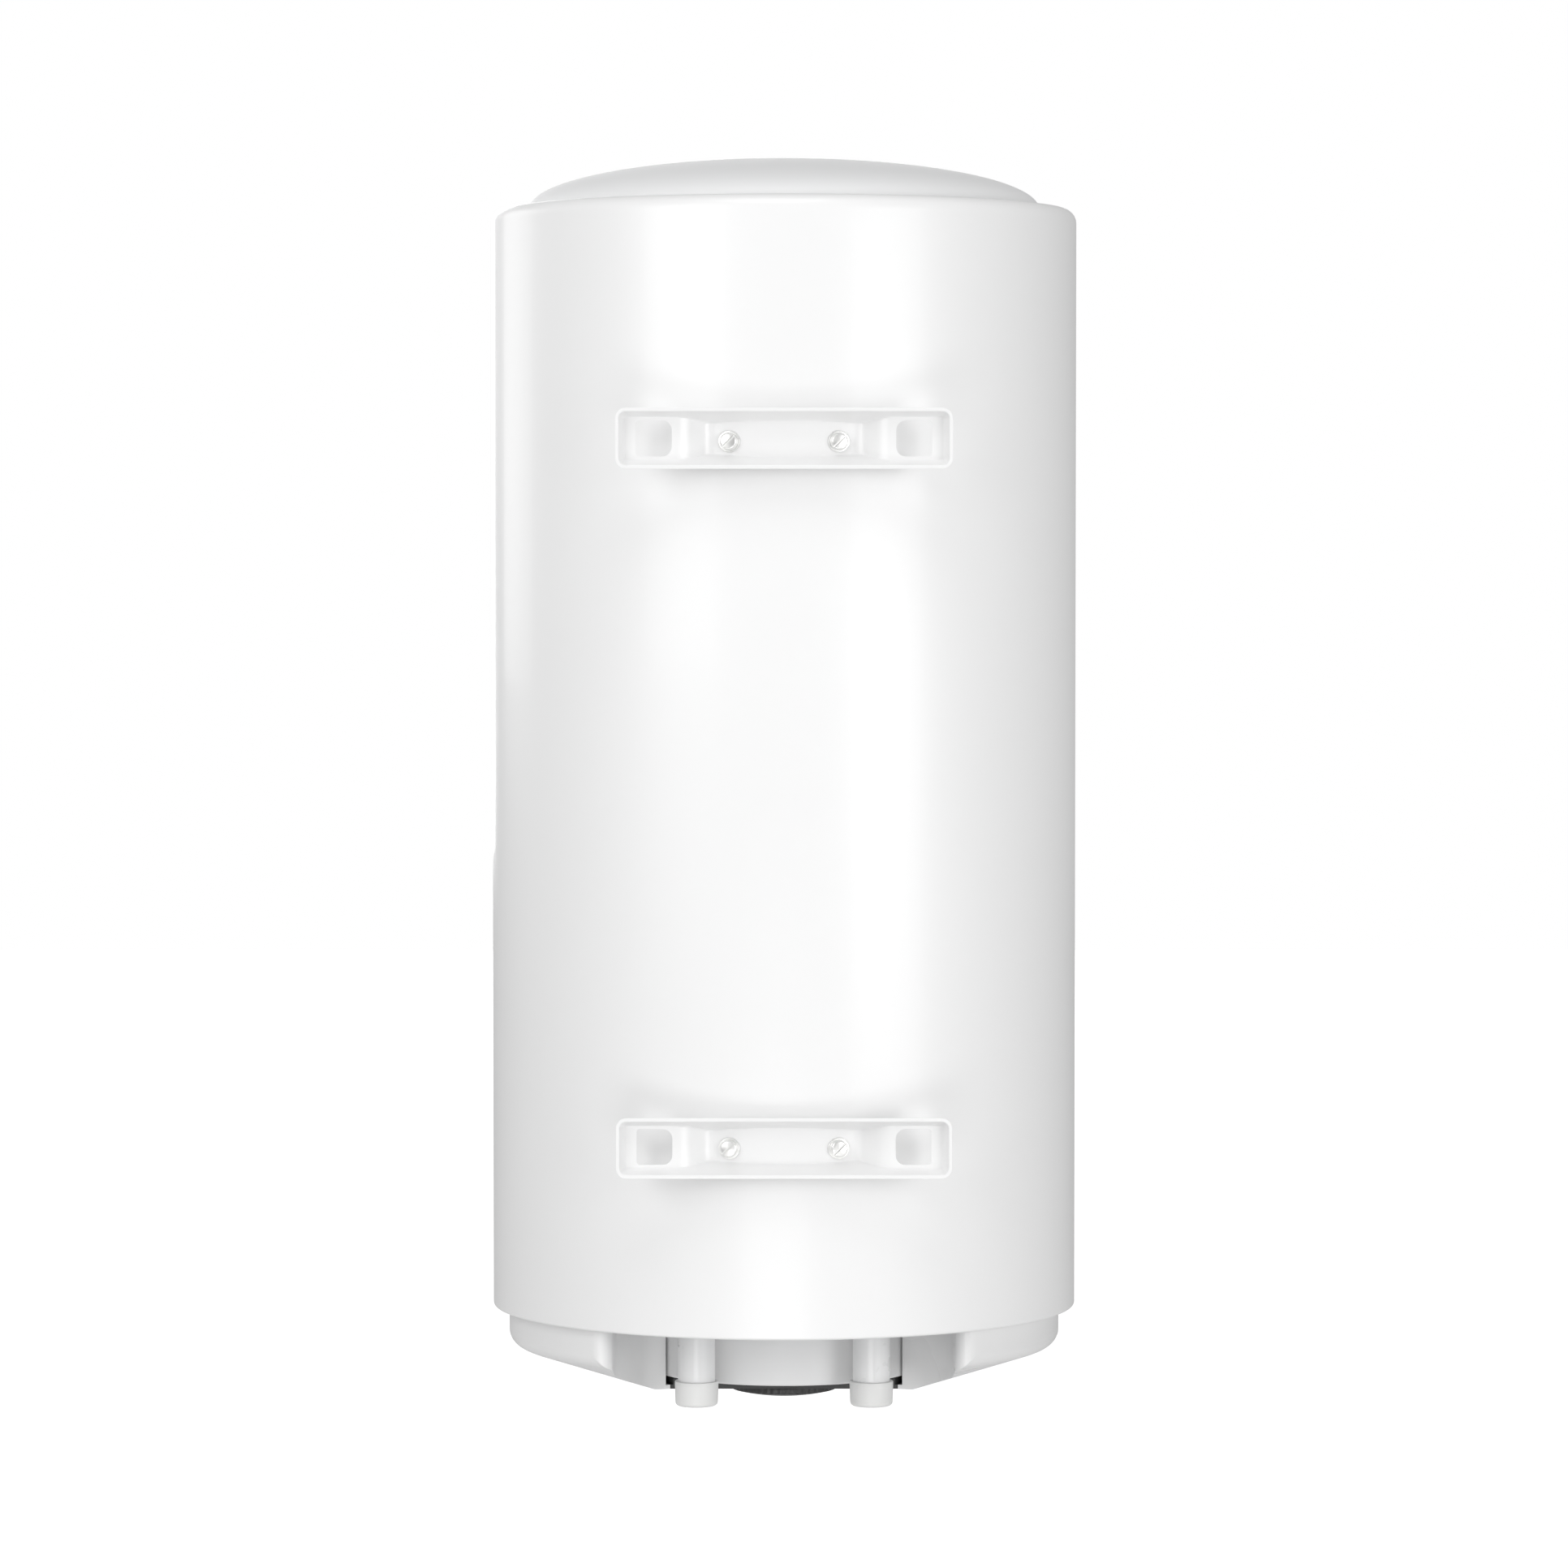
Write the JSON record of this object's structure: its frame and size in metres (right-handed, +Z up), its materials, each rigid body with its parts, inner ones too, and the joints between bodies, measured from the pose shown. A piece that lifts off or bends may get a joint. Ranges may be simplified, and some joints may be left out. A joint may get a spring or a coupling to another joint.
{
  "type": "tank water heater",
  "caption": "Slim wall-hung cylindrical electric storage water heater with white casing, domed top, rear pipe notch, bottom knob and two wall brackets.",
  "frame": {"origin": "centre of the upper wall bracket's rim, in the wall plane", "axes": "+Z up, +Y into the wall, +X to the right for a person facing the heater's front"},
  "size_m": [0.3399, 0.355, 0.7207],
  "materials": {
    "casing_paint": "gloss",
    "top_cover_plastic": "satin",
    "lower_cover_plastic": "gloss",
    "hatch_plastic": "matte",
    "knob_plastic": "satin",
    "shroud_paint": "satin",
    "galvanised": "satin",
    "tank_steel": "gloss",
    "foam": "matte",
    "bracket_paint": "gloss",
    "zinc": "satin",
    "gasket_rubber": "matte",
    "copper": "satin",
    "brass": "satin",
    "magnesium": "satin",
    "stainless": "satin",
    "black_moulding": "matte",
    "reset_red": "gloss",
    "terminal_plastic": "matte",
    "wire_pvc": "satin",
    "lamp_lens": "gloss",
    "pipe_paint": "gloss",
    "cap_plastic": "satin",
    "diffuser_plastic": "matte"
  },
  "bodies": {
    "heater": {"casing": "casing_paint", "top_cover": "top_cover_plastic", "lower_cover": "lower_cover_plastic", "service_cover": "hatch_plastic", "service_cover_screws": "zinc", "electrics_shroud": "shroud_paint", "shroud_screws": "zinc", "foam_base_plate": "galvanised", "pipe_grommets": "gasket_rubber", "tank_barrel": "tank_steel", "tank_top_head": "tank_steel", "tank_bottom_head": "tank_steel", "tank_anchor_upper": "zinc", "tank_anchor_lower": "zinc", "insulation_foam": "foam", "flange_seat": "tank_steel", "flange_gasket": "gasket_rubber", "flange_plate": "zinc", "flange_studs": "zinc", "flange_nuts": "brass", "heating_element": "copper", "element_bushings": "brass", "anode_rod": "magnesium", "anode_nut": "zinc", "thermowell": "stainless", "component_carrier": "galvanised", "thermostat": "black_moulding", "thermal_cutout": "black_moulding", "terminal_block": "terminal_plastic", "terminal_screws": "brass", "internal_wires": "wire_pvc", "pilot_lamp": "lamp_lens", "cable_gland": "black_moulding", "cable_gland_nut": "black_moulding", "cold_inlet_pipe": "pipe_paint", "hot_outlet_pipe": "pipe_paint", "cold_inlet_diffuser": "diffuser_plastic", "hot_dip_tube": "stainless", "wall_bracket_upper": "bracket_paint", "wall_bracket_lower": "bracket_paint", "upper_bracket_screws": "zinc", "upper_bracket_washers": "zinc", "lower_bracket_screws": "zinc", "lower_bracket_washers": "zinc"},
    "knob": {"thermostat_knob": "knob_plastic", "thermostat_shaft": "zinc"},
    "reset": {"reset_button": "reset_red"},
    "cold_cap": {"cold_inlet_cap": "cap_plastic"},
    "hot_cap": {"hot_outlet_cap": "cap_plastic"}
  },
  "joints": [
    {"name": "knob_turn", "type": "hinge", "parent": "heater", "child": "knob", "pos_m": [0, -0.185, -0.549], "axis": [0, 0, -1], "range_deg": [0, 270]},
    {"name": "reset_press", "type": "slide", "parent": "heater", "child": "reset", "axis": [0, 0, 1], "range_m": [0, 0.0015], "stiffness_N_per_m": 600, "springref_m": -0.001},
    {"name": "cold_cap_pull", "type": "slide", "parent": "heater", "child": "cold_cap", "axis": [0, 0, -1], "range_m": [0, 0.06]},
    {"name": "hot_cap_pull", "type": "slide", "parent": "heater", "child": "hot_cap", "axis": [0, 0, -1], "range_m": [0, 0.06]}
  ]
}
